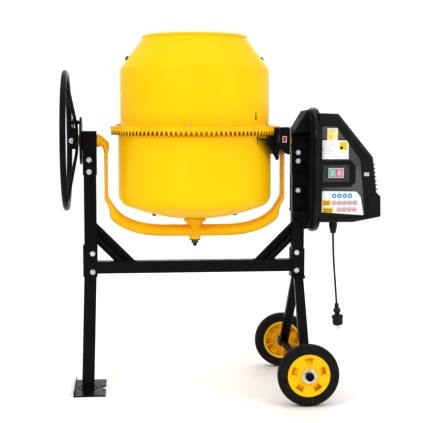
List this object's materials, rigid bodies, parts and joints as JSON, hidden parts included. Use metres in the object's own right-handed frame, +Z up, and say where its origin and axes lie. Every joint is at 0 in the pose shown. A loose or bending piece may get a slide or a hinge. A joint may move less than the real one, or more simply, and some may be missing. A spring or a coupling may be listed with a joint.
{
  "type": "concrete mixer",
  "caption": "Tilting-drum concrete mixer: drum with ring gear in a bow, tilt handwheel, tube stand with a foot plate and wheels, belt-drive motor housing.",
  "frame": {"origin": "on the floor, below the middle of the machine's length and width", "axes": "+Z up along the upright drum's axis, +X from the handwheel towards the motor housing, so the tilt axis runs along X; the switch faces -Y"},
  "size_m": [1.296, 0.746, 1.4605],
  "materials": {
    "black_paint": "semi-gloss powder coat",
    "yellow_paint": "gloss enamel",
    "yellow_cast": "painted casting",
    "zinc": "zinc plated",
    "dark_steel": "blackened",
    "paddle_steel": "painted, worn",
    "cast_hub": "as cast",
    "bush_bronze": "sintered",
    "black_plastic": "fine grain",
    "grey_plastic": "satin",
    "pale_plastic": "gloss",
    "tyre_rubber": "matte",
    "yellow_plastic": "satin",
    "pulley_plastic": "satin",
    "pulley_steel": "turned",
    "belt_rubber": "matte",
    "motor_aluminium": "as cast",
    "rotor_steel": "machined",
    "green_plastic": "gloss",
    "red_plastic": "gloss",
    "cord_rubber": "matte",
    "plug_rubber": "matte"
  },
  "bodies": {
    "frame": {"left_upright": "black_paint", "right_upright": "black_paint", "crossbar": "black_paint", "left_brace": "black_paint", "right_brace": "black_paint", "left_leg": "black_paint", "foot_plate": "black_paint", "wheel_leg_socket": "black_paint", "front_wheel_leg": "black_paint", "rear_wheel_leg": "black_paint", "wheel_axle": "black_paint", "axle_washers": "zinc", "split_pins": "zinc", "left_bearing_bracket": "black_paint", "right_bearing_bracket": "black_paint", "trunnion_bushes": "bush_bronze", "locking_disc": "black_paint", "frame_bolts": "zinc", "drive_belt": "belt_rubber", "motor_casing": "motor_aluminium", "housing_back_shell": "black_plastic", "housing_cover": "black_plastic", "housing_screws": "zinc", "switch_box": "grey_plastic", "switch_bezel": "pale_plastic", "cable_gland": "black_plastic", "mains_cord": "cord_rubber", "mains_plug": "plug_rubber"},
    "bow": {"bow_tube": "yellow_paint", "left_trunnion": "yellow_paint", "right_trunnion": "yellow_paint", "drum_support": "yellow_paint", "drum_pin": "dark_steel", "drum_pin_nut": "dark_steel", "pinion_guard_cover": "black_plastic", "pinion_guard_plate": "black_paint", "hub_pivot_bolt": "zinc"},
    "drum": {"drum_bowl": "yellow_paint", "drum_cone": "yellow_paint", "ring_gear": "yellow_cast", "ring_bolts": "zinc", "mixing_paddles": "paddle_steel", "paddle_bolts": "dark_steel", "drum_hub": "cast_hub", "drum_bearings": "dark_steel"},
    "drive": {"pinion": "dark_steel", "drive_shaft": "dark_steel", "driven_pulley": "pulley_plastic"},
    "motor": {"motor_rotor": "rotor_steel", "motor_pulley": "pulley_steel"},
    "handwheel": {"handwheel_rim": "black_paint", "handwheel_spokes": "black_paint", "handwheel_hub": "black_paint", "lock_pin": "dark_steel"},
    "front_wheel": {"front_tyre": "tyre_rubber", "front_wheel_disc": "yellow_plastic"},
    "rear_wheel": {"rear_tyre": "tyre_rubber", "rear_wheel_disc": "yellow_plastic"},
    "start_button": {"start_button": "green_plastic"},
    "stop_button": {"stop_button": "red_plastic"}
  },
  "joints": [
    {"name": "drum_tilt", "type": "hinge", "parent": "frame", "child": "bow", "pos_m": [-0.11, 0, 1.035], "axis": [1, 0, 0], "range_deg": [-125, 125]},
    {"name": "drum_spin", "type": "hinge", "parent": "bow", "child": "drum", "pos_m": [-0.11, 0, 1.035], "axis": [0, 0, 1], "continuous": true},
    {"name": "pinion_spin", "type": "hinge", "parent": "bow", "child": "drive", "pos_m": [0.226, 0, 1.035], "axis": [1, 0, 0], "continuous": true},
    {"name": "motor_spin", "type": "hinge", "parent": "frame", "child": "motor", "pos_m": [0.39, 0, 0.808], "axis": [1, 0, 0], "continuous": true},
    {"name": "handwheel_release", "type": "hinge", "parent": "bow", "child": "handwheel", "pos_m": [-0.612, 0, 1.035], "axis": [0, 1, 0], "range_deg": [-6, 0], "stiffness_Nm_per_rad": 120, "springref_deg": 5.73},
    {"name": "front_wheel_spin", "type": "hinge", "parent": "frame", "child": "front_wheel", "pos_m": [0.311, -0.33, 0.1225], "axis": [0, 1, 0], "continuous": true},
    {"name": "rear_wheel_spin", "type": "hinge", "parent": "frame", "child": "rear_wheel", "pos_m": [0.311, 0.33, 0.1225], "axis": [0, 1, 0], "continuous": true},
    {"name": "start_press", "type": "slide", "parent": "frame", "child": "start_button", "axis": [0, 1, 0], "range_m": [0, 0.0025], "stiffness_N_per_m": 600, "springref_m": -0.001},
    {"name": "stop_press", "type": "slide", "parent": "frame", "child": "stop_button", "axis": [0, 1, 0], "range_m": [0, 0.0025], "stiffness_N_per_m": 600, "springref_m": -0.001}
  ],
  "couplings": [
    {"joint": "pinion_spin", "follows": "drum_spin", "ratio": -11.2},
    {"joint": "motor_spin", "follows": "drum_spin", "ratio": -100.8}
  ]
}
